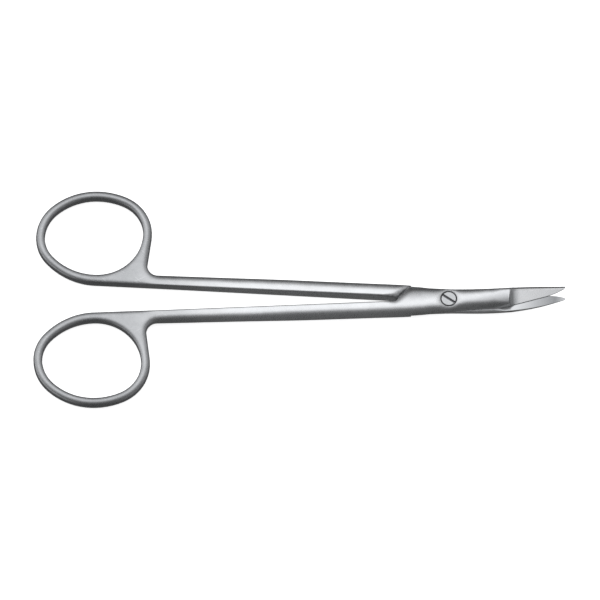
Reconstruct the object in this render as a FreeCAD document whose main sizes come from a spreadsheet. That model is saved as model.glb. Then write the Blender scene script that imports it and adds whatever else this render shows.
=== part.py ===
import FreeCAD
import Part

import math
import os

# Dissecting scissors with slim finger rings and blades curved on the flat.
#
# The row's origin is on the pivot axis, in the plane that the closed joint's underside lies in.
# +X points to the tips, +Z is the side that carries the screw head, and the blades bend towards +Z.
# Each half is drawn in its closed place, with its flat inner side along X and z = 0 in the plane
# where the two halves meet. It is then turned open about the pivot by half the opening angle.
# Plan points are written for a half whose ring lies at +Y. The half with its ring at -Y mirrors them.

Vector = FreeCAD.Vector
doc = FreeCAD.newDocument("dissecting_scissors")

# Driving dimensions: millimetres, and degrees where the note says so

SIZES = [
    ("rest_angle", 5.3, "degrees between the halves as they lie"),
    ("handle_length", 113.8, "pivot to the back of a ring"),
    ("blade_length", 31.7, "pivot to the tips"),
    ("joint_depth", 4.0, "both laps together"),
    ("ring_depth", 3.0, "of a ring"),
    ("taper_bend", 500.0, "gentle bends where the shank's taper in depth begins and ends"),
    ("opening_length", 26.9, "inside a ring, along the handle"),
    ("opening_height", 22.8, "inside a ring, across the handle"),
    ("ring_width", 2.4, "section of a ring seen in plan"),
    ("ring_back_height", 12.2, "lowest point of a ring's middle line to its rearmost"),
    ("ring_front_height", 13.8, "lowest point of a ring's middle line to its foremost"),
    ("ring_top_reach", 15.5, "rearmost point of a ring's middle line to its highest"),
    ("ring_low_reach", 15.5, "rearmost point of a ring's middle line to its lowest"),
    ("ring_back_angle", 45.0, "degrees from a ring's rearmost point to where its two bends meet"),
    ("ring_front_angle", 68.0, "degrees from a ring's foremost point to where its two bends meet"),
    ("web_radius", 3.0, "hollow corner between ring and shank"),
    ("neck_inset", 0.7, "by which the neck stands behind the ring's front"),
    ("shank_width_ring", 3.2, "at the web"),
    ("shank_width_mid", 3.72, "half way along"),
    ("shank_width_joint", 3.92, "at the shoulder"),
    ("shank_bend", 1000.0, "gentle bend of the outer side half way along"),
    ("lap_back", 14.35, "pivot to the inner corner of a shoulder"),
    ("joint_half_width", 3.2, "at the pivot"),
    ("heel_reach", 7.0, "pivot to the heel of a blade"),
    ("heel_half_width", 2.88, "at the heel"),
    ("grind_start", 16.5, "pivot to the lip where the blade's grind begins"),
    ("spine_half_root", 2.45, "centre line to spine at the lip"),
    ("spine_half_mid", 1.75, "centre line to spine half way to the tip"),
    ("tip_half_width", 0.5, "centre line to spine at the tip"),
    ("edge_half_root", 2.58, "centre line to cutting edge at the lip"),
    ("edge_half_mid", 1.62, "centre line to cutting edge half way to the tip"),
    ("edge_half_front", 1.2, "centre line to cutting edge three quarters of the way to the tip"),
    ("nose_length", 0.45, "rounded tip"),
    ("nose_half_width", 0.25, "centre line to cutting edge where the rounded tip begins"),
    ("edge_thickness", 0.15, "left at the cutting edge"),
    ("grind_angle", 16.0, "degrees by which the ground face falls to the cutting edge"),
    ("grind_radius", 2.0, "hollow where the grind runs out"),
    ("crest_width", 0.5, "bevel that is left along the spine of the ground face"),
    ("crest_angle", 28.0, "degrees by which that bevel falls to the spine"),
    ("bend_start", 4.0, "pivot to where the blades begin to bend"),
    ("bend_radius", 68.0, "bend of the blades"),
    ("outer_round", 1.2, "rounded outer edges of a ring and a web"),
    ("joint_round", 1.75, "rounded outer edges of the joint, to which those of a shank grow"),
    ("opening_round", 0.8, "rounded edges of a ring's opening"),
    ("inner_round", 0.35, "edges of a shank's flat inner side"),
    ("face_gap", 0.05, "between the two laps"),
    ("inner_gap", 0.03, "each shank's flat side to the centre line when closed"),
    ("shoulder_gap", 0.05, "between a shoulder and the other half's lap"),
    ("shoulder_bevel", 0.4, "along the outer edge of a shoulder"),
    ("screw_diameter", 2.4, "plain shank of the screw"),
    ("thread_diameter", 2.0, "end of the screw that the rear half holds"),
    ("head_diameter", 4.2, "head of the screw"),
    ("head_depth", 0.85, "head of the screw"),
    ("head_inset", 0.05, "top of the head below the lap's face"),
    ("running_gap", 0.05, "round the screw's shank"),
    ("head_gap", 0.1, "round the screw's head"),
    ("head_chamfer", 0.2, "head and its seat"),
    ("slot_width", 0.65, "slot of the screw"),
    ("slot_depth", 0.55, "slot of the screw"),
    ("slot_angle", -34.0, "degrees by which the slot is turned"),
]

sheet = doc.addObject("Spreadsheet::Sheet", "sizes")
for row, (alias, value, note) in enumerate(SIZES, start=1):
    sheet.set(f"A{row}", alias)
    sheet.set(f"B{row}", str(value))
    sheet.set(f"C{row}", note)
    sheet.setAlias(f"B{row}", alias)
doc.recompute()


def size(alias):
    return float(sheet.get(alias))


# Share of the joint's narrowing that is left a third of the way back from the pivot
SWELL_RATIO = 0.6

# Most of a ring's width or depth that one rounding takes
ROUND_RATIO = 0.48

# How far a tool reaches past the metal that it cuts, and how much metal is left to be ground away
CLEAR = 12.0
TRIM = 1.0

# Points closer than this are the same
SAME = 0.001

# Lines that several outlines share

HALF_DEPTH = size("joint_depth") / 2
RAW_END = size("blade_length") + 2 * TRIM
MID_BLADE = (size("grind_start") + size("blade_length")) / 2
LAP_CORNER = size("lap_back") - size("shank_width_joint") - size("inner_gap")
RING_FRONT = -size("handle_length") + size("opening_length") + 2 * size("ring_width")
SHANK_ROOT = RING_FRONT - size("neck_inset") + size("web_radius")
TAPER_FOOT = SHANK_ROOT + size("web_radius")


def polar(centre, radius, degrees):
    turn = math.radians(degrees)
    return (centre[0] + radius * math.cos(turn), centre[1] + radius * math.sin(turn))


def line(start, end):
    return Part.LineSegment(Vector(start[0], start[1], 0), Vector(end[0], end[1], 0))


def arc(centre, radius, start, end, side=1):
    """An arc between two angles in degrees, mirrored across X where side is -1."""
    points = [polar(centre, radius, degrees) for degrees in (start, (start + end) / 2, end)]
    return Part.Arc(*[Vector(x, side * y, 0) for x, y in points])


def spline(points, side=1, start_slope=None, end_slope=None):
    """A curve through points, mirrored across X where side is -1; slopes are directions at its ends."""
    curve = Part.BSplineCurve()
    places = [Vector(x, side * y, 0) for x, y in points]
    if start_slope is None:
        curve.interpolate(Points=places)
    else:
        curve.interpolate(
            Points=places,
            InitialTangent=Vector(start_slope[0], side * start_slope[1], 0),
            FinalTangent=Vector(end_slope[0], side * end_slope[1], 0),
        )
    return curve


def chain(points, side=1):
    """Straight lines from point to point, mirrored across X where side is -1."""
    places = [(x, side * y) for x, y in points]
    return [line(a, b) for a, b in zip(places, places[1:])]


def slope(start, end):
    """Degrees by which the line from start to end rises."""
    return math.degrees(math.atan2(end[1] - start[1], end[0] - start[0]))


def bent(start, corner, end, radius, side=1):
    """Two straight lines with their corner rounded, mirrored across X where side is -1."""
    before, after = slope(start, corner), slope(corner, end)
    turn = math.radians(after - before) / 2
    reach = radius * math.tan(abs(turn))
    first = polar(corner, -reach, before)
    last = polar(corner, reach, after)
    hand = math.copysign(90, turn)
    centre = polar(first, radius, before + hand)
    edges = chain([start, first], side)
    edges.append(arc(centre, radius, before - hand, after - hand, side))
    return edges + chain([last, end], side)


# The ring: an oval whose four quarters are each two tangent arcs


def quarter(across, up, turn):
    """Arcs (x, y, radius, from, to) that run from (across, 0) to (0, up), each with its own centre."""
    cosine, sine = math.cos(math.radians(turn)), math.sin(math.radians(turn))
    first = (up * cosine - across * (1 - sine)) / (sine + cosine - 1)
    second = (across - first * (1 - cosine)) / cosine
    return [(across - first, 0.0, first, 0.0, turn), (0.0, up - second, second, turn, 90.0)]


def ring_arcs(offset):
    """Arcs (centre, radius, from, to) of the ring's middle line moved outwards, in turn from its front."""
    back = -size("handle_length") + size("ring_width") / 2
    front = back + size("opening_length") + size("ring_width")
    low = size("inner_gap") + size("ring_width") / 2
    high = low + size("opening_height") + size("ring_width")
    back_y = low + size("ring_back_height")
    front_y = low + size("ring_front_height")
    top_x = back + size("ring_top_reach")
    low_x = back + size("ring_low_reach")
    front_turn, back_turn = size("ring_front_angle"), size("ring_back_angle")
    arcs = []
    for x, y, radius, start, end in quarter(front - top_x, high - front_y, front_turn):
        arcs.append(((top_x + x, front_y + y), radius + offset, start, end))
    for x, y, radius, start, end in reversed(quarter(top_x - back, high - back_y, back_turn)):
        arcs.append(((top_x - x, back_y + y), radius + offset, 180 - end, 180 - start))
    for x, y, radius, start, end in quarter(low_x - back, back_y - low, back_turn):
        arcs.append(((low_x - x, back_y - y), radius + offset, 180 + start, 180 + end))
    for x, y, radius, start, end in reversed(quarter(front - low_x, front_y - low, front_turn)):
        arcs.append(((low_x + x, front_y - y), radius + offset, 360 - end, 360 - start))
    return arcs


def outline(side):
    """The forging's outline: ring, web, shank, joint and a blade that is left wide for grinding."""
    ring = ring_arcs(size("ring_width") / 2)
    flat_y = size("inner_gap")
    low_x = ring[5][0][0]
    edges = [arc(*piece, side) for piece in ring[:6]]

    # The flat inner side, and the back of the lap at 45 degrees
    corner = (-LAP_CORNER, -size("shank_width_joint"))
    edges += chain([(low_x, flat_y), (-size("lap_back"), flat_y), corner], side)

    # The spine's side of the joint and the blade
    joint = size("joint_half_width")
    swell = joint + SWELL_RATIO * (size("shank_width_joint") - joint)
    fall = (size("spine_half_mid") - size("tip_half_width")) / (size("blade_length") - MID_BLADE)
    raw_spine = size("tip_half_width") - fall * (RAW_END - size("blade_length"))
    spine = [
        corner,
        (-size("lap_back") / 3, -swell),
        (0, -joint),
        (size("heel_reach"), -size("heel_half_width")),
        (size("grind_start"), -size("spine_half_root")),
        (MID_BLADE, -size("spine_half_mid")),
        (size("blade_length"), -size("tip_half_width")),
        (RAW_END, -raw_spine),
    ]
    edges.append(spline(spine, side))
    raw_edge = (RAW_END, size("heel_half_width") + TRIM)
    edges += chain([(RAW_END, -raw_spine), raw_edge], side)

    # The outer side of the blade, the joint and the shank
    shoulder = (-size("lap_back"), flat_y + size("shank_width_joint"))
    middle = ((SHANK_ROOT - size("lap_back")) / 2, flat_y + size("shank_width_mid"))
    root_y = flat_y + size("shank_width_ring")
    widening = slope((SHANK_ROOT, root_y), middle)
    hollow = size("web_radius")
    hollow_centre = (SHANK_ROOT, root_y + hollow)
    shank_root = polar(hollow_centre, hollow, 270 + widening)
    outer = [
        raw_edge,
        (size("heel_reach"), size("heel_half_width")),
        (0, joint),
        (-size("lap_back") / 3, swell),
        shoulder,
    ]
    back_along = (middle[0] - shoulder[0], middle[1] - shoulder[1])
    edges.append(spline(outer, side, (-1, 0), back_along))
    edges += bent(shoulder, middle, shank_root, size("shank_bend"), side)

    # The web: its hollow corner meets the neck of the ring
    neck_centre, neck_radius = ring[-1][0], ring[-1][1]
    reach_x = hollow_centre[0] - neck_centre[0]
    reach_y = hollow_centre[1] - neck_centre[1]
    lean = math.acos((neck_radius + hollow) / math.hypot(reach_x, reach_y))
    neck_angle = math.degrees(math.atan2(reach_y, reach_x) + lean)
    edges.append(arc(hollow_centre, hollow, 180 + neck_angle, 270 + widening, side))
    neck_top = polar(neck_centre, neck_radius, neck_angle)
    neck_foot = polar(hollow_centre, hollow, 180 + neck_angle)
    edges += chain([neck_foot, neck_top], side)
    edges.append(arc(neck_centre, neck_radius, neck_angle, 0, side))
    return edges


def bend_height(x):
    """Height at x of the face in which the two blades meet."""
    radius = size("bend_radius")
    return radius - math.sqrt(radius**2 - (x - size("bend_start")) ** 2)


def profile(up):
    """Side view of what lies above (up = 1) or below (up = -1) the forging."""
    height = up * HALF_DEPTH
    start_x = size("bend_start")

    # The depth tapers from the joint to the ring, between two gentle bends
    thin = size("ring_depth") / 2
    bend = size("taper_bend")
    thick_x = -size("lap_back") - 2 * TRIM
    run, rise = thick_x - TAPER_FOOT, HALF_DEPTH - thin - 2 * bend
    taper = math.degrees(math.asin(2 * bend / math.hypot(run, rise)) + math.atan2(rise, run))
    thin_centre = (TAPER_FOOT, up * (thin + bend))
    thick_centre = (thick_x, up * (HALF_DEPTH - bend))
    taper_start = polar(thin_centre, bend, up * (taper - 90))
    taper_end = polar(thick_centre, bend, up * (taper + 90))
    far = (-size("handle_length") - CLEAR, up * thin)
    edges = chain([far, (TAPER_FOOT, up * thin)])
    edges.append(arc(thin_centre, bend, -90 * up, up * (taper - 90)))
    edges += chain([taper_start, taper_end])
    edges.append(arc(thick_centre, bend, up * (taper + 90), 90 * up))

    # The joint is flat, and the blade bends on the flat
    edges += chain([(thick_x, height), (start_x, height)])
    radius = size("bend_radius") - height
    sweep = math.degrees(math.asin((RAW_END + TRIM - start_x) / radius))
    bend_centre = (start_x, size("bend_radius"))
    end = polar(bend_centre, radius, 270 + sweep)
    edges.append(arc(bend_centre, radius, 270, 270 + sweep))
    limit = up * size("blade_length")
    beyond = end[0] + CLEAR
    edges += chain([end, (beyond, end[1]), (beyond, limit), (far[0], limit), far])
    return edges


def plane(body, role):
    return next(item for item in body.Origin.OriginFeatures if item.Role == role)


def sketch(body, name, role, edges):
    drawn = body.newObject("Sketcher::SketchObject", name)
    drawn.AttachmentSupport = [(plane(body, role), "")]
    drawn.MapMode = "FlatFace"
    drawn.addGeometry(edges, False)
    doc.recompute()
    return drawn


def forging(name, side):
    """The whole outline at full depth, bent on the flat and tapered towards the ring."""
    body = doc.addObject("PartDesign::Body", name + "_forging")
    plan = sketch(body, name + "_outline", "XY_Plane", outline(side))
    opening = [arc(*piece, side) for piece in ring_arcs(-size("ring_width") / 2)]
    plan.addGeometry(opening, False)
    bar = body.newObject("PartDesign::Pad", name + "_bar")
    bar.Profile = plan
    bar.SideType = "Symmetric"
    bar.setExpression("Length", "sizes.blade_length")
    doc.recompute()
    sides = sketch(body, name + "_sides", "XZ_Plane", profile(1) + profile(-1))
    bend = body.newObject("PartDesign::Pocket", name + "_bend")
    bend.Profile = sides
    bend.SideType = "Symmetric"
    bend.Type = "ThroughAll"
    doc.recompute()
    return body


def rounded(name, body, side):
    """Rounds the forging's long edges. The flat inner side keeps a small radius, which grows round the
    ring; the outer side's radius grows along the shank."""
    opening = Part.Wire([arc(*piece, side).toShape() for piece in ring_arcs(-size("ring_width") / 2)])
    flat_y = side * size("inner_gap")
    low_x = ring_arcs(0)[5][0][0]
    most = ROUND_RATIO * min(size("ring_width"), size("ring_depth"))
    large = min(size("outer_round"), most)
    small = min(size("inner_round"), most)
    hole_round = min(size("opening_round"), most)
    growth = min(size("joint_round"), ROUND_RATIO * size("joint_depth")) - large

    def outer(point):
        """Radius at a point of the outer edges: it grows along the shank, and shrinks to the raw end."""
        if side * point.y < 0 or point.x > RAW_END - SAME:
            return large
        share = (point.x - TAPER_FOOT) / (-size("lap_back") - TAPER_FOOT)
        return large + growth * min(max(share, 0.0), 1.0)

    shape = body.Shape
    picked = []
    for number, edge in enumerate(shape.Edges, start=1):
        first, last = edge.firstVertex().Point, edge.lastVertex().Point
        middle = edge.valueAt((edge.FirstParameter + edge.LastParameter) / 2)
        walls = shape.ancestorsOfType(edge, Part.Face)
        flatness = sorted(abs(normal_at(face, middle).z) for face in walls)
        if flatness[0] > 0.1 or flatness[1] < 0.5:
            continue
        on_lap_back = -size("lap_back") + SAME < middle.x < -LAP_CORNER - SAME and side * middle.y < 0
        on_raw_end = middle.x > RAW_END - SAME
        if on_lap_back or on_raw_end:
            continue
        if opening.distToShape(Part.Vertex(middle.x, middle.y, 0))[0] < SAME:
            picked.append((number, hole_round, hole_round))
        elif abs(first.y - flat_y) < SAME and abs(last.y - flat_y) < SAME:
            picked.append((number, small, small))
        elif abs(first.y - flat_y) < SAME and first.x < low_x + SAME:
            picked.append((number, small, large))
        elif abs(last.y - flat_y) < SAME and last.x < low_x + SAME:
            picked.append((number, large, small))
        else:
            picked.append((number, outer(first), outer(last)))
    blank = doc.addObject("Part::Fillet", name + "_blank")
    blank.Base = body
    blank.Edges = picked
    doc.recompute()
    return blank


def normal_at(face, point):
    u, v = face.Surface.parameter(point)
    return face.normalAt(u, v)


def lap_tool(name, side, up):
    """What is cut away over (up = 1) or under (up = -1) a half's lap and blade: flat behind the pivot, and
    a surface of revolution about the pivot ahead of it, so that the blades clear each other."""
    body = doc.addObject("PartDesign::Body", name + "_lap_tool")
    seam = -up * size("face_gap") / 2
    start_x = size("bend_start")
    back = -size("lap_back") - size("shoulder_gap")
    shoulder = [(back - CLEAR, -CLEAR), (back + CLEAR, CLEAR)]
    ahead = start_x / 2
    field = chain([*shoulder, (ahead, CLEAR), (ahead, -CLEAR), shoulder[0]], side)
    flat = sketch(body, name + "_lap_flat", "XY_Plane", field)
    flat.AttachmentOffset = FreeCAD.Placement(Vector(0, 0, seam), FreeCAD.Rotation())
    slab = body.newObject("PartDesign::Pad", name + "_lap_slab")
    slab.Profile = flat
    slab.Length = CLEAR + size("joint_depth")
    slab.Reversed = up < 0
    doc.recompute()
    radius = size("bend_radius")
    sweep = math.degrees(math.asin((RAW_END + 2 * TRIM - start_x) / radius))
    centre = (start_x, radius + seam)
    end = polar(centre, radius, 270 + sweep)
    far = up * CLEAR + (end[1] if up > 0 else 0)
    edges = chain([(0, seam), (start_x, seam)])
    edges.append(arc(centre, radius, 270, 270 + sweep))
    edges += chain([end, (end[0], far), (0, far), (0, seam)])
    section = sketch(body, name + "_blade_face", "XZ_Plane", edges)
    turned = body.newObject("PartDesign::Revolution", name + "_blade_sweep")
    turned.Profile = section
    turned.ReferenceAxis = (section, ["V_Axis"])
    turned.Midplane = True
    turned.Angle = 180
    doc.recompute()
    return body


def shoulder_tool(name, side, up):
    """A long square bar, set on edge along a shoulder's outer corner, that bevels it."""
    bar = doc.addObject("Part::Box", name + "_shoulder_tool")
    thick = size("shoulder_bevel") * math.sqrt(2)
    bar.Length, bar.Width, bar.Height = 2 * CLEAR, thick, thick
    centred = FreeCAD.Placement(Vector(-CLEAR, -thick / 2, -thick / 2), FreeCAD.Rotation())
    on_edge = FreeCAD.Placement(Vector(), FreeCAD.Rotation(Vector(1, 0, 0), 45))
    corner = Vector(-size("lap_back") - size("shoulder_gap"), 0, up * HALF_DEPTH)
    along = FreeCAD.Placement(corner, FreeCAD.Rotation(Vector(0, 0, 1), 45 * side))
    bar.Placement = along * on_edge * centred
    return bar


def edge_tool(name, side):
    """What is ground off beside the cutting edge and round the tip."""
    body = doc.addObject("PartDesign::Body", name + "_edge_tool")
    tip = size("blade_length")
    nose_x = tip - size("nose_length")
    start = (size("heel_reach"), size("heel_half_width") + TRIM / 8)
    cutting = [
        start,
        (size("grind_start"), size("edge_half_root")),
        (MID_BLADE, size("edge_half_mid")),
        ((MID_BLADE + tip) / 2, size("edge_half_front")),
        (nose_x, size("nose_half_width")),
    ]
    nose_end = (nose_x, -size("tip_half_width") - TRIM / 4)
    nose = Part.Arc(
        Vector(nose_x, side * size("nose_half_width"), 0),
        Vector(tip, -side * size("tip_half_width") / 2, 0),
        Vector(nose_x, side * nose_end[1], 0),
    )
    away = tip + CLEAR
    loop = [nose_end, (nose_x, -CLEAR), (away, -CLEAR), (away, CLEAR), (start[0], CLEAR), start]
    edges = [spline(cutting, side), nose] + chain(loop, side)
    plan = sketch(body, name + "_edge_plan", "XY_Plane", edges)
    pad = body.newObject("PartDesign::Pad", name + "_edge_pad")
    pad.Profile = plan
    pad.SideType = "Symmetric"
    pad.setExpression("Length", "sizes.blade_length")
    doc.recompute()
    return body


def along_blade(x, root, middle, tip):
    """A size that changes evenly from the lip to half way, and from there to the tip."""
    if x < MID_BLADE:
        return root + (middle - root) * (x - size("grind_start")) / (MID_BLADE - size("grind_start"))
    return middle + (tip - middle) * (x - MID_BLADE) / (size("blade_length") - MID_BLADE)


def ground_thickness(x, crest):
    """Metal left on the centre line below the ground face, or below the line of its bevel (crest)."""
    reach = along_blade(x, size("edge_half_root"), size("edge_half_mid"), 0.0)
    fall = math.tan(math.radians(size("grind_angle")))
    thickness = size("edge_thickness") + fall * max(reach, 0.0)
    if crest:
        spine = along_blade(x, size("spine_half_root"), size("spine_half_mid"), size("tip_half_width"))
        fall += math.tan(math.radians(size("crest_angle")))
        thickness += fall * (spine - size("crest_width"))
    return thickness


def grind_tool(name, side, up, crest):
    """What is ground off a blade's outer face: a slope with a hollow run-out at the lip. It falls to the
    cutting edge, or to the spine where it is the bevel along that (crest)."""
    body = doc.addObject("PartDesign::Body", name)
    hollow = size("grind_radius")
    stations = (size("grind_start") + hollow, MID_BLADE + TRIM, RAW_END + TRIM)
    heights = [bend_height(x) + up * ground_thickness(x, crest) for x in stations]
    foot, middle, end = zip(stations, heights)
    face = Part.Arc(Vector(*foot, 0), Vector(*middle, 0), Vector(*end, 0))
    run = face.tangent(face.FirstParameter)[0]
    if run.x < 0:
        run = run * -1
    centre = (foot[0] - up * run.y * hollow, foot[1] + up * run.x * hollow)
    wall = (centre[0] - hollow, centre[1])
    top = up * (HALF_DEPTH + CLEAR)
    edges = [face, arc(centre, hollow, -180 * up, slope(centre, foot))]
    edges += chain([wall, (wall[0], top), (end[0], top), end])
    section = sketch(body, name + "_section", "XZ_Plane", edges)
    pad = body.newObject("PartDesign::Pad", name + "_pad")
    pad.Profile = section
    pad.SideType = "Symmetric"
    pad.UseCustomVector = True
    pad.AlongSketchNormal = False
    lean = math.radians(-size("crest_angle") if crest else size("grind_angle"))
    pad.Direction = Vector(0, math.cos(lean), -side * up * math.sin(lean))
    pad.Length = 2 * CLEAR
    doc.recompute()
    return body


def disc(name, radius, height, base):
    """A cylinder on the pivot axis; each argument is an expression in the sheet's names."""
    item = doc.addObject("Part::Cylinder", name)
    item.setExpression("Radius", radius)
    item.setExpression("Height", height)
    item.setExpression("Placement.Base.z", base)
    return item


def funnel(name, low_radius, high_radius, height, base):
    item = doc.addObject("Part::Cone", name)
    item.setExpression("Radius1", low_radius)
    item.setExpression("Radius2", high_radius)
    item.setExpression("Height", height)
    item.setExpression("Placement.Base.z", base)
    return item


def head_seat():
    """Bore and seat of the screw in the front half."""
    depth = "sizes.joint_depth"
    bore_radius = "sizes.screw_diameter / 2 + sizes.running_gap"
    seat_radius = "sizes.head_diameter / 2 + sizes.head_gap"
    seat_height = "sizes.joint_depth / 2 - sizes.head_inset - sizes.head_depth"
    pieces = [
        disc("front_bore", bore_radius, depth, "-sizes.joint_depth / 2"),
        disc("front_seat", seat_radius, depth, seat_height),
        funnel(
            "front_seat_chamfer",
            seat_radius,
            seat_radius + " + 2 * sizes.head_chamfer",
            "2 * sizes.head_chamfer",
            "sizes.joint_depth / 2 - sizes.head_chamfer",
        ),
    ]
    tool = doc.addObject("Part::MultiFuse", "front_seat_tool")
    tool.Shapes = pieces
    return tool


def screw_hole():
    return disc("rear_hole", "sizes.thread_diameter / 2", "sizes.joint_depth * 2", "-sizes.joint_depth")


def cut(base, tool, name):
    result = doc.addObject("Part::Cut", name)
    result.Base = base
    result.Tool = tool
    doc.recompute()
    return result


def place(item, label, turn):
    """Turns a finished piece about the pivot and lifts it so that the joint's underside is at z = 0."""
    item.Label = label
    item.setExpression("Placement.Base.z", "sizes.joint_depth / 2")
    if turn:
        item.setExpression("Placement.Rotation.Angle", turn)
    return item


def half(label, side, up, hole, turn):
    """One half: side is +1 where the ring lies at +Y, and up is +1 where the blade is the upper one."""
    blank = rounded(label, forging(label, side), side)
    lapped = cut(blank, lap_tool(label, side, -up), label + "_lapped")
    eased = cut(lapped, shoulder_tool(label, side, -up), label + "_eased")
    edged = cut(eased, edge_tool(label, side), label + "_edged")
    ground = cut(edged, grind_tool(label + "_grind", side, up, False), label + "_ground")
    bevelled = cut(ground, grind_tool(label + "_crest", side, up, True), label + "_bevelled")
    return place(cut(bevelled, hole, label + "_bored"), label, turn)


def pivot_screw():
    """A flush slotted screw: head, plain shank in the front half, and an end that the rear half holds."""
    body = doc.addObject("PartDesign::Body", "screw_body")
    seat = HALF_DEPTH - size("head_inset") - size("head_depth")
    top = HALF_DEPTH - size("head_inset")
    head, chamfer = size("head_diameter") / 2, size("head_chamfer")
    shank, thread = size("screw_diameter") / 2, size("thread_diameter") / 2
    section = [
        (0, top),
        (head - chamfer, top),
        (head, top - chamfer),
        (head, seat),
        (shank, seat),
        (shank, -size("face_gap") / 2),
        (thread, -size("face_gap") / 2),
        (thread, -HALF_DEPTH),
        (0, -HALF_DEPTH),
        (0, top),
    ]
    half_section = sketch(body, "screw_section", "XZ_Plane", chain(section))
    turned = body.newObject("PartDesign::Revolution", "screw_turned")
    turned.Profile = half_section
    turned.ReferenceAxis = (half_section, ["V_Axis"])
    turned.Angle = 360
    doc.recompute()
    reach, slot = size("head_diameter"), size("slot_width") / 2
    corners = [(-reach, -slot), (reach, -slot), (reach, slot), (-reach, slot)]
    mark = sketch(body, "screw_slot_plan", "XY_Plane", chain([*corners, corners[0]]))
    mark.AttachmentOffset = FreeCAD.Placement(
        Vector(0, 0, top), FreeCAD.Rotation(Vector(0, 0, 1), size("slot_angle"))
    )
    groove = body.newObject("PartDesign::Pocket", "screw_slot")
    groove.Profile = mark
    groove.setExpression("Length", "sizes.slot_depth")
    doc.recompute()
    return place(body, "pivot_screw", None)


# The front half has its ring at -Y and the upper blade; the rear half carries the screw
pieces = [
    half("front_half", -1, 1, head_seat(), "sizes.rest_angle / 2"),
    half("rear_half", 1, -1, screw_hole(), "-sizes.rest_angle / 2"),
    pivot_screw(),
]
doc.recompute()

for item in doc.Objects:
    if "Invalid" in item.State or "Error" in item.State:
        raise RuntimeError(item.Name + " failed")
for piece in pieces:
    if piece.Shape.isNull() or not piece.Shape.isValid():
        raise RuntimeError(piece.Label + " has no valid shape")

os.makedirs("parts", exist_ok=True)
for piece in pieces:
    piece.Shape.exportStep(os.path.join("parts", piece.Label + ".step"))
    box = piece.Shape.BoundBox
    print(
        piece.Label,
        "solids", len(piece.Shape.Solids),
        "volume", round(piece.Shape.Volume, 1),
        "x", round(box.XMin, 2), round(box.XMax, 2),
        "y", round(box.YMin, 2), round(box.YMax, 2),
        "z", round(box.ZMin, 2), round(box.ZMax, 2),
    )
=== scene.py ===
import math

import bmesh
import bpy
from mathutils import Matrix, Vector

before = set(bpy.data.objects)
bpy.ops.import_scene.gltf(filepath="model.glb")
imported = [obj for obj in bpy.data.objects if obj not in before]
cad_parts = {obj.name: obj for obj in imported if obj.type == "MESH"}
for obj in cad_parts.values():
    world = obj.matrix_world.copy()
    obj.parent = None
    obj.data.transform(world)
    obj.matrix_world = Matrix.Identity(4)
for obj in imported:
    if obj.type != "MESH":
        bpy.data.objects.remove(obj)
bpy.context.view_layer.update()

# Dissecting scissors of satin steel: two halves with finger rings, and a slotted pivot screw.
# Metres. +X runs to the tips, +Z is the side of the screw head, and the blades bend towards +Z.
# A pair of numbers gives the places between which a share goes from none to all, unless it says
# something else. Where side is asked for, it is 1 for the front half and -1 for the rear one,
# which is the same shape turned over.

MM = 0.001

# Sizes of the part that its finish follows, along each half from the pivot

HALF_OPENING = math.radians(2.65)
RING_START = -83.0 * MM
LIP = 16.5 * MM
MID_BLADE = 24.1 * MM
TIP = 31.7 * MM
FACE_HEIGHT = 2.0 * MM
BEND_START = 4.0 * MM
BEND_RADIUS = 68.0 * MM
SLOT_ANGLE = math.radians(-34)
HEAD_TOP = 3.95 * MM
SEAT_RADIUS = 2.2 * MM

# Heights over the sliding faces, between which the finish of the outer faces, or the painted shade on the
# inner faces, comes in

OUTER_FACES = (0.1 * MM, 0.3 * MM)
INNER_FACES = (0.25 * MM, 0.15 * MM)

# Crown of the forged faces: its fall with the distance squared, in 1/m, and its crest line's places

SHANK_CROWN = -46.0
JOINT_CROWN = -62.0
CROWN_CHANGE = (-12.0 * MM, 6.0 * MM)
CREST_CROSSING = (-10.0 * MM, 15.0 * MM)
CREST_ON_SHANK = -0.8 * MM
CREST_AT_LIP = 1.5 * MM
CREST_WOBBLE = 0.7 * MM
WOBBLE_SCALE = 170.0

# Bevel along each blade's spine: the spine's distances from the middle line, and the bevel's widths

SPINE_AT_LIP = 2.45 * MM
SPINE_AT_MID = 1.76 * MM
SPINE_TURN_IN = -1.25 * MM
BEVEL_AT_LIP = 1.15 * MM
BEVEL_AT_TIP = 0.75 * MM
BEVEL_SLOPE = -0.62

# Reach of the rounding that polishing gives to an edge

FACE_ROUNDING = 2.6 * MM
INNER_EDGE_ROUNDING = 0.5 * MM
BLADE_ROUNDING = 0.2 * MM
RING_ROUNDING = 1.8 * MM
SCREW_ROUNDING = 0.15 * MM
INNER_EDGE = (1.5 * MM, 0.9 * MM)
SHANK_PAST_SHOULDER = (-14.0 * MM, -18.0 * MM)

# Rubbed edges: the width looked at, and the cosines of the turn within it

RUBBED_WIDTH = 0.14 * MM
RUBBED_TURN = (0.992, 0.88)

# Tones of the metal

STEEL_TONES = ((0.52, 0.525, 0.53, 1.0), (0.66, 0.665, 0.67, 1.0), (0.85, 0.85, 0.85, 1.0))
SCREW_TONES = ((0.34, 0.345, 0.35, 1.0), (0.44, 0.445, 0.45, 1.0), (0.66, 0.66, 0.66, 1.0))
# Darker steel: painted shade on the rings and in the hollow under the lip, and a darker tone on the joint
DARKER_STEEL = (0.30, 0.305, 0.31, 1.0)
# Painted shade on the blades' inner faces
INNER_SHADE = (0.26, 0.265, 0.27, 1.0)
# Painted shade in the screw's slot and in the groove round its head
RECESS_SHADE = (0.12, 0.12, 0.125, 1.0)

# Places of the tones, and the largest share that each takes

# Painted shade, strongest towards the rings, and a darker tone on the joint towards the lip
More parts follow.
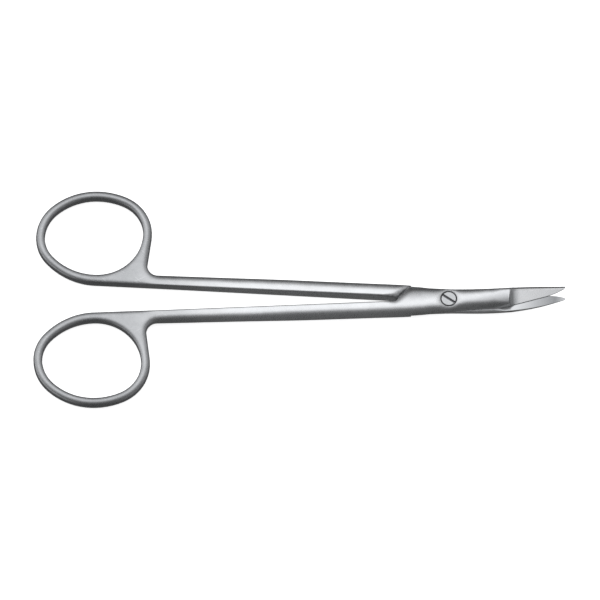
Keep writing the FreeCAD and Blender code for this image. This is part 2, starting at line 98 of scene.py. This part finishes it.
SHADED_RINGS = (-58.0 * MM, -88.0 * MM)
DARKER_JOINT = (0.0, 14.0 * MM)
DARKER_JOINT_SHARE = 0.36
# Painted shade on the blades' inner faces, strongest towards the tips
INNER_SHADE_STRETCH = (18.0 * MM, 29.0 * MM)
INNER_SHADE_SHARES = (0.2, 1.0)
# Painted shade in the hollow under the lip
HOLLOW_END = (LIP + 2.9 * MM, LIP + 0.9 * MM)
HOLLOW_SHADE_SHARE = 0.85
# Painted light on the blade's outer slope past the hollow
LIT_SLOPE_START = (LIP + 1.8 * MM, LIP + 3.2 * MM)
LIT_SLOPE_SHARE = 0.5
SCRATCH_SHARE = 0.35
# Painted shade in the screw's slot and in the groove round its head
SHADED_SLOT = (HEAD_TOP - 0.12 * MM, HEAD_TOP - 0.35 * MM)
SHADED_SEAT = (SEAT_RADIUS + 0.22 * MM, SEAT_RADIUS + 0.05 * MM)

# Patterns in the metal, in cells to the metre; two numbers are along and across the lines

GRAIN_LINES = (350.0, 9000.0)
SPECKLE = 7000.0
SLOW_TONES = 110.0
CLOUDED_TONES = 620.0
FIRST_SCRATCHES = (160.0, 5200.0)
SECOND_SCRATCHES = (190.0, 6100.0)
FIRST_ANGLE = 0.7
SECOND_ANGLE = -0.5
SCRATCHED_PATCHES = 240.0
RUBBED_BREAKS = 900.0
RELIEF_DEPTH = 0.006 * MM


# The photograph's frame: seen from 24 degrees off straight above, in nearly parallel rays

CAMERA_TILT = math.radians(24)
CAMERA_ROLL = math.radians(0.367)
CAMERA_DISTANCE = 2.0
VIEW_WIDTH = 163.9 * MM
VIEW_CENTRE = Vector((-40.6 * MM, 0.13 * MM, 2.0 * MM))


def photo_camera():
    """The camera that takes the photograph's view."""
    data = bpy.data.cameras.new("photo_camera")
    data.sensor_fit = "HORIZONTAL"
    data.sensor_width = 36.0
    data.lens = data.sensor_width * CAMERA_DISTANCE / VIEW_WIDTH
    data.clip_start = 0.01
    data.clip_end = 10.0
    camera = bpy.data.objects.new("photo_camera", data)
    bpy.context.collection.objects.link(camera)
    turn = Matrix.Rotation(CAMERA_TILT, 4, "X") @ Matrix.Rotation(CAMERA_ROLL, 4, "Z")
    back = turn.to_3x3() @ Vector((0, 0, 1))
    camera.matrix_world = Matrix.Translation(VIEW_CENTRE + back * CAMERA_DISTANCE) @ turn
    bpy.context.scene.camera = camera


# Short ways to add nodes


def feed(tree, value, socket):
    """Joins an output to a socket, or sets the socket where the value is a number or a colour."""
    if isinstance(value, bpy.types.NodeSocket):
        tree.links.new(value, socket)
    else:
        socket.default_value = value


def math_node(tree, operation, *values):
    node = tree.nodes.new("ShaderNodeMath")
    node.operation = operation
    for socket, value in zip(node.inputs, values):
        feed(tree, value, socket)
    return node.outputs[0]


def plus(tree, first, second):
    return math_node(tree, "ADD", first, second)


def minus(tree, first, second):
    return math_node(tree, "SUBTRACT", first, second)


def times(tree, first, *others):
    for other in others:
        first = math_node(tree, "MULTIPLY", first, other)
    return first


def length_squared(tree, x, y):
    return math_node(tree, "MULTIPLY_ADD", x, x, times(tree, y, y))


def weighed(tree, share, first, second):
    """Two values mixed, with the given share of the first."""
    rest = minus(tree, 1.0, share)
    return plus(tree, times(tree, first, share), times(tree, second, rest))


def remap(tree, value, low, high, to_low=0.0, to_high=1.0):
    """A value's place between two others, on a new scale and held within it."""
    node = tree.nodes.new("ShaderNodeMapRange")
    node.clamp = True
    feed(tree, value, node.inputs["Value"])
    for label, number in (("From Min", low), ("From Max", high), ("To Min", to_low), ("To Max", to_high)):
        feed(tree, number, node.inputs[label])
    return node.outputs["Result"]


def near_lip(tree, x, start, end):
    """Share that comes in between two distances past the lip, in millimetres."""
    return remap(tree, x, LIP + start * MM, LIP + end * MM)


def axes_of(tree, vector):
    node = tree.nodes.new("ShaderNodeSeparateXYZ")
    feed(tree, vector, node.inputs[0])
    return node.outputs


def turned(tree, vector, angle, kind="POINT"):
    """Coordinates turned about Z, or with TEXTURE those in a frame that is turned so."""
    node = tree.nodes.new("ShaderNodeMapping")
    node.vector_type = kind
    node.inputs["Rotation"].default_value = (0.0, 0.0, angle)
    feed(tree, vector, node.inputs["Vector"])
    return node.outputs["Vector"]


def noise(tree, vector, scale, detail=2.0, roughness=0.5):
    node = tree.nodes.new("ShaderNodeTexNoise")
    node.inputs["Scale"].default_value = scale
    node.inputs["Detail"].default_value = detail
    node.inputs["Roughness"].default_value = roughness
    feed(tree, vector, node.inputs["Vector"])
    return node.outputs["Fac"]


def drawn_out_noise(tree, vector, scales, detail, roughness):
    """Noise with one scale along X and another across it."""
    node = tree.nodes.new("ShaderNodeVectorMath")
    node.operation = "MULTIPLY"
    feed(tree, vector, node.inputs[0])
    along, across = scales
    node.inputs[1].default_value = (along, across, across)
    return noise(tree, node.outputs["Vector"], 1.0, detail, roughness)


def mix(tree, kind, share, first, second):
    """Two colours (kind RGBA) or two vectors (kind VECTOR) mixed, with a share of the second."""
    node = tree.nodes.new("ShaderNodeMix")
    node.data_type = kind
    feed(tree, share, node.inputs["Factor"])
    ends = [socket for socket in node.inputs if socket.type == kind and socket.enabled]
    for socket, value in zip(ends, (first, second)):
        feed(tree, value, socket)
    return next(socket for socket in node.outputs if socket.type == kind and socket.enabled)


def bump(tree, height, normal, strength=1.0, distance=1.0):
    """Tilts the normal as a relief would, whose height is in units of the distance."""
    node = tree.nodes.new("ShaderNodeBump")
    node.inputs["Strength"].default_value = strength
    node.inputs["Distance"].default_value = distance
    feed(tree, height, node.inputs["Height"])
    feed(tree, normal, node.inputs["Normal"])
    return node.outputs["Normal"]


# Soft light: one broad glow over the table, dimmer ones low at both ends, and dark elsewhere.
# Places on the sky are parts of a direction of length 1

SKY_TINT = (0.97, 0.98, 1.0, 1.0)
SKY_CENTRE = (-0.14, 0.38)
SKY_SIDE_REACH = 0.75
SKY_FRONT_REACH = 0.60
SKY_BACK_REACH = 0.42
SKY_SEAM = (-0.1, 0.1)
SKY_RISE = (0.0, 0.25)
SKY_BRIGHT = 1.68
SKY_DARK = 0.15
TIP_END = (0.3, 0.6)
TIP_END_BRIGHT = 0.4
RING_END = (-0.3, -0.7)
RING_END_BRIGHT = 0.75
END_RISE = (-0.1, 0.1)
END_FALL = (0.45, 0.3)

TABLE_HALF_SIZE = 1.5
TABLE_DROP = 0.02 * MM
TABLE_TONE = (0.85, 0.85, 0.85, 1.0)
TABLE_GLOW = 0.8


def studio_air():
    """The sky, and a plain tone curve as the photograph has."""
    world = bpy.data.worlds.new("studio_air")
    world.use_nodes = True
    tree = world.node_tree
    x, y, z = axes_of(tree, tree.nodes.new("ShaderNodeTexCoord").outputs["Generated"])

    behind = minus(tree, y, SKY_CENTRE[1])
    reach = remap(tree, behind, *SKY_SEAM, SKY_FRONT_REACH, SKY_BACK_REACH)
    across = math_node(tree, "DIVIDE", behind, reach)
    along = math_node(tree, "DIVIDE", minus(tree, x, SKY_CENTRE[0]), SKY_SIDE_REACH)
    glow = math_node(tree, "EXPONENT", times(tree, length_squared(tree, across, along), -1.0))
    glow = times(tree, glow, remap(tree, z, *SKY_RISE))

    tip_end = remap(tree, x, *TIP_END, 0.0, TIP_END_BRIGHT)
    ring_end = remap(tree, x, *RING_END, 0.0, RING_END_BRIGHT)
    ends = plus(tree, tip_end, ring_end)
    ends = times(tree, ends, remap(tree, z, *END_RISE), remap(tree, z, *END_FALL))
    around = plus(tree, ends, SKY_DARK)

    backdrop = tree.nodes["Background"]
    backdrop.inputs["Color"].default_value = SKY_TINT
    feed(tree, math_node(tree, "MULTIPLY_ADD", glow, SKY_BRIGHT, around), backdrop.inputs["Strength"])
    bpy.context.scene.world = world
    bpy.context.scene.view_settings.view_transform = "Standard"


def table_top():
    """A pale table, lit from below as well, which the steel doesn't mirror."""
    shell = bmesh.new()
    bmesh.ops.create_grid(shell, x_segments=1, y_segments=1, size=TABLE_HALF_SIZE)
    mesh = bpy.data.meshes.new("table_top")
    shell.to_mesh(mesh)
    shell.free()
    floor = bpy.data.objects.new("table_top", mesh)
    bpy.context.collection.objects.link(floor)
    floor.location.z = -TABLE_DROP
    floor.visible_glossy = False
    material = bpy.data.materials.new("pale_table")
    material.use_nodes = True
    shader = material.node_tree.nodes["Principled BSDF"]
    shader.inputs["Base Color"].default_value = TABLE_TONE
    shader.inputs["Roughness"].default_value = 0.9
    shader.inputs["Specular IOR Level"].default_value = 0.1
    shader.inputs["Emission Color"].default_value = (1.0, 1.0, 1.0, 1.0)
    shader.inputs["Emission Strength"].default_value = TABLE_GLOW
    mesh.materials.append(material)


# Shader groups: each puts out values that vary over the metal


def new_group(name, inputs, outputs):
    """A shader node group with named sockets; inputs are (name, type, value), outputs (name, type)."""
    group = bpy.data.node_groups.new(name, "ShaderNodeTree")
    for label, kind, value in inputs:
        socket = group.interface.new_socket(label, in_out="INPUT", socket_type=kind)
        if value is not None:
            socket.default_value = value
    for label, kind in outputs:
        group.interface.new_socket(label, in_out="OUTPUT", socket_type=kind)
    start = group.nodes.new("NodeGroupInput")
    end = group.nodes.new("NodeGroupOutput")
    return group, start, end


def brushed_grain_group():
    """Fine lines of a satin finish, drawn along X, over an even fine grain."""
    group, start, end = new_group(
        "brushed_grain",
        [("Vector", "NodeSocketVector", None), ("Line Share", "NodeSocketFloat", 0.5)],
        [("Grain", "NodeSocketFloat")],
    )
    vector = start.outputs["Vector"]
    lines = drawn_out_noise(group, vector, GRAIN_LINES, 3.0, 0.6)
    speckle = noise(group, vector, SPECKLE, 2.0, 0.6)
    feed(group, weighed(group, start.outputs["Line Share"], lines, speckle), end.inputs["Grain"])
    return group


def handling_group():
    """Slow changes of tone, and sparse short scratches, as on an instrument in use."""
    group, start, end = new_group(
        "handling_marks",
        [("Vector", "NodeSocketVector", None)],
        [("Tone", "NodeSocketFloat"), ("Scratches", "NodeSocketFloat")],
    )
    vector = start.outputs["Vector"]
    slow = noise(group, vector, SLOW_TONES, 3.0, 0.55)
    cloud = noise(group, vector, CLOUDED_TONES, 3.0, 0.6)
    feed(group, remap(group, weighed(group, 0.6, slow, cloud), 0.32, 0.68), end.inputs["Tone"])
    first = drawn_out_noise(group, turned(group, vector, FIRST_ANGLE), FIRST_SCRATCHES, 1.0, 0.4)
    second = drawn_out_noise(group, turned(group, vector, SECOND_ANGLE), SECOND_SCRATCHES, 1.0, 0.4)
    lines = remap(group, math_node(group, "MAXIMUM", first, second), 0.68, 0.76)
    patches = remap(group, noise(group, vector, SCRATCHED_PATCHES, 1.0), 0.45, 0.6)
    feed(group, times(group, lines, patches), end.inputs["Scratches"])
    return group


def eased_edges_group():
    """Edges that years of polishing have rounded over, and where they are rubbed bright."""
    group, start, end = new_group(
        "eased_edges",
        [("Vector", "NodeSocketVector", None), ("Reach", "NodeSocketFloat", 1.0 * MM)],
        [("Worn", "NodeSocketFloat"), ("Normal", "NodeSocketVector")],
    )
    narrow = group.nodes.new("ShaderNodeBevel")
    narrow.samples = 4
    narrow.inputs["Radius"].default_value = RUBBED_WIDTH
    plain = group.nodes.new("ShaderNodeNewGeometry")
    facing = group.nodes.new("ShaderNodeVectorMath")
    facing.operation = "DOT_PRODUCT"
    feed(group, narrow.outputs["Normal"], facing.inputs[0])
    feed(group, plain.outputs["Normal"], facing.inputs[1])
    edge = remap(group, facing.outputs["Value"], *RUBBED_TURN)
    breaks = noise(group, start.outputs["Vector"], RUBBED_BREAKS, 2.0, 0.6)
    feed(group, times(group, edge, remap(group, breaks, 0.3, 0.6, 0.55, 1.0)), end.inputs["Worn"])
    wide = group.nodes.new("ShaderNodeBevel")
    wide.samples = 12
    feed(group, start.outputs["Reach"], wide.inputs["Radius"])
    feed(group, wide.outputs["Normal"], end.inputs["Normal"])
    return group


def place_group(tree, group, **values):
    """Adds a group; an input's name is given with an underscore for its space."""
    node = tree.nodes.new("ShaderNodeGroup")
    node.node_tree = group
    for label, value in values.items():
        feed(tree, value, node.inputs[label.replace("_", " ")])
    return node.outputs


# Places on the metal, as shares from 0 to 1


def shaded_slot(tree, vector):
    """Shade painted dark on the floor of the screw's slot."""
    return remap(tree, axes_of(tree, vector)["Z"], *SHADED_SLOT)


def shaded_seat(tree, vector):
    """Shade painted dark in the groove between the screw's head and its seat."""
    axes = axes_of(tree, vector)
    radius = math_node(tree, "SQRT", length_squared(tree, axes["X"], axes["Y"]))
    return remap(tree, radius, *SHADED_SEAT)


def height_over_joint(tree, axes):
    """Height over the faces on which the two halves slide, which bend upwards along the blades."""
    past = math_node(tree, "MAXIMUM", minus(tree, axes["X"], BEND_START), 0.0)
    rise = math_node(tree, "DIVIDE", times(tree, past, past), 2.0 * BEND_RADIUS)
    return minus(tree, minus(tree, axes["Z"], rise), FACE_HEIGHT)


def own_side(tree, level, side):
    """The outer face, on a half's own side of the joint."""
    return remap(tree, times(tree, level, side), *OUTER_FACES)


def shaded_inner_faces(tree, axes, level):
    """The blades' inner faces, painted darker as shade, most towards the tips."""
    inner = remap(tree, math_node(tree, "ABSOLUTE", level), *INNER_FACES)
    return times(tree, inner, remap(tree, axes["X"], *INNER_SHADE_STRETCH, *INNER_SHADE_SHARES))


def shaded_hollow_under_lip(tree, axes, level, side):
    """The hollow under the lip, painted darker as shade."""
    hollow = times(tree, own_side(tree, level, side), near_lip(tree, axes["X"], -0.1, 0.1))
    return times(tree, hollow, remap(tree, axes["X"], *HOLLOW_END, 0.0, HOLLOW_SHADE_SHARE))


def painted_light_on_slope(tree, axes, level, side):
    """The slope past the hollow, painted brighter as light."""
    slope = remap(tree, axes["X"], *LIT_SLOPE_START, 0.0, LIT_SLOPE_SHARE)
    return times(tree, own_side(tree, level, side), slope)


def ring_shade_and_darker_joint(tree, axes, tone):
    """The rings and webs, painted darker as shade and fading along the shanks, and a darker tone on
    the joint up to the lip where the blades are ground."""
    rings = remap(tree, axes["X"], *SHADED_RINGS)
    joint = remap(tree, axes["X"], *DARKER_JOINT, 0.0, DARKER_JOINT_SHARE)
    joint = times(tree, joint, near_lip(tree, axes["X"], 0.2, -0.2))
    return times(tree, plus(tree, rings, joint), remap(tree, tone, 0.0, 1.0, 1.0, 0.75))


# Forms too slight for the mesh, as turns of the shading normal


def easing_reach(tree, axes, side):
    """How far the polishing rounds a face: least on the blades and the shanks' inner edges."""
    x = axes["X"]
    outwards = times(tree, axes["Y"], -side)
    inner = times(tree, remap(tree, outwards, *INNER_EDGE), remap(tree, x, *SHANK_PAST_SHOULDER))
    reach = remap(tree, inner, 0.0, 1.0, FACE_ROUNDING, INNER_EDGE_ROUNDING)
    reach = remap(tree, near_lip(tree, x, -4.0, -1.0), 0.0, 1.0, reach, BLADE_ROUNDING)
    ring = remap(tree, x, RING_START + 3.0 * MM, RING_START - 1.0 * MM)
    return remap(tree, ring, 0.0, 1.0, reach, RING_ROUNDING)


def crowned_faces(tree, vector, axes, level, side, normal):
    """The forged faces' slight crown, highest along a line that crosses the joint from the shank's
    inner edge to the blade's spine and wanders a little, as ground by hand."""
    x = axes["X"]
    crest = remap(tree, x, *CREST_CROSSING, CREST_ON_SHANK * side, CREST_AT_LIP * side)
    wobble = minus(tree, noise(tree, vector, WOBBLE_SCALE, 1.0), 0.5)
    away = minus(tree, axes["Y"], math_node(tree, "MULTIPLY_ADD", wobble, CREST_WOBBLE, crest))
    height = times(tree, away, away, remap(tree, x, *CROWN_CHANGE, SHANK_CROWN, JOINT_CROWN))
    share = remap(tree, math_node(tree, "ABSOLUTE", level), *OUTER_FACES)
    share = times(tree, share, remap(tree, x, RING_START, RING_START + 4.0 * MM))
    share = times(tree, share, near_lip(tree, x, 0.1, -0.3))
    return mix(tree, "VECTOR", share, normal, bump(tree, height, normal))


def spine_bevel(tree, axes, level, side, normal):
    """The outer part of the bevel that is ground along each blade's spine."""
    x = axes["X"]
    spine = remap(tree, x, LIP, MID_BLADE, SPINE_AT_LIP, SPINE_AT_MID)
    spine = plus(tree, spine, remap(tree, x, MID_BLADE, TIP, 0.0, SPINE_TURN_IN))
    inset = minus(tree, times(tree, axes["Y"], side), spine)
    width = remap(tree, x, LIP, TIP, BEVEL_AT_LIP, BEVEL_AT_TIP)
    height = times(tree, math_node(tree, "MAXIMUM", plus(tree, inset, width), 0.0), BEVEL_SLOPE)
    share = times(tree, own_side(tree, level, side), near_lip(tree, x, 0.2, 0.6))
    return mix(tree, "VECTOR", share, normal, bump(tree, height, normal))


def satin_steel(name, groups, turn, tones, roughness, line_share, side, recess_shade=None):
    """Satin steel whose grain runs along one half; turn is the grain's angle at rest, side is 0 for
    the screw, and the last argument is a function that gives where shade is painted dark in a recess."""
    material = bpy.data.materials.new(name)
    material.use_nodes = True
    tree = material.node_tree
    shader = tree.nodes["Principled BSDF"]
    place = tree.nodes.new("ShaderNodeTexCoord").outputs["Object"]
    vector = turned(tree, place, turn, "TEXTURE")
    axes = axes_of(tree, vector)

    grain = place_group(tree, groups["grain"], Vector=vector, Line_Share=line_share)["Grain"]
    marks = place_group(tree, groups["handling"], Vector=vector)
    tone, scratches = marks["Tone"], marks["Scratches"]
    reach = easing_reach(tree, axes, side) if side else SCREW_ROUNDING
    edges = place_group(tree, groups["edges"], Vector=vector, Reach=reach)
    worn, normal = edges["Worn"], edges["Normal"]

    dark, light, bright = tones
    colour = mix(tree, "RGBA", weighed(tree, 0.7, tone, grain), dark, light)
    if side:
        level = height_over_joint(tree, axes)
        # Painted shade on the rings and webs, and a darker tone on the joint towards the lip
        colour = mix(tree, "RGBA", ring_shade_and_darker_joint(tree, axes, tone), colour, DARKER_STEEL)
        # Painted shade on the blades' inner faces, strongest towards the tips
        colour = mix(tree, "RGBA", shaded_inner_faces(tree, axes, level), colour, INNER_SHADE)
        # Painted shade in the hollow under the lip
        colour = mix(tree, "RGBA", shaded_hollow_under_lip(tree, axes, level, side), colour, DARKER_STEEL)
        # Painted light on the blade's outer slope past the hollow
        colour = mix(tree, "RGBA", painted_light_on_slope(tree, axes, level, side), colour, bright)
        normal = crowned_faces(tree, vector, axes, level, side, normal)
        normal = spine_bevel(tree, axes, level, side, normal)
    colour = mix(tree, "RGBA", times(tree, scratches, SCRATCH_SHARE), colour, bright)
    colour = mix(tree, "RGBA", worn, colour, bright)
    # Painted shade in the screw's slot or in the groove round its head
    if recess_shade:
        colour = mix(tree, "RGBA", recess_shade(tree, place), colour, RECESS_SHADE)
    feed(tree, colour, shader.inputs["Base Color"])
    shader.inputs["Metallic"].default_value = 1.0

    rough = remap(tree, grain, 0.3, 0.7, roughness - 0.04, roughness + 0.05)
    rough = math_node(tree, "MULTIPLY_ADD", tone, 0.05, rough)
    feed(tree, minus(tree, rough, times(tree, worn, 0.10)), shader.inputs["Roughness"])

    height = minus(tree, grain, times(tree, scratches, 0.6))
    feed(tree, bump(tree, height, normal, 0.25, RELIEF_DEPTH), shader.inputs["Normal"])
    return material


def dress(node, material):
    """Gives a node of the model its finish."""
    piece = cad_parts[node]
    for slot in piece.material_slots:
        slot.material = material


photo_camera()
studio_air()
table_top()

shared = {
    "grain": brushed_grain_group(),
    "handling": handling_group(),
    "edges": eased_edges_group(),
}
front_steel = satin_steel(
    "satin_steel_front", shared, HALF_OPENING, STEEL_TONES, 0.25, 0.5, 1, shaded_seat)
rear_steel = satin_steel(
    "satin_steel_rear", shared, -HALF_OPENING, STEEL_TONES, 0.25, 0.5, -1)
screw_steel = satin_steel(
    "satin_screw", shared, SLOT_ANGLE, SCREW_TONES, 0.22, 0.3, 0, shaded_slot)
dress("front_half", front_steel)
dress("rear_half", rear_steel)
dress("pivot_screw", screw_steel)
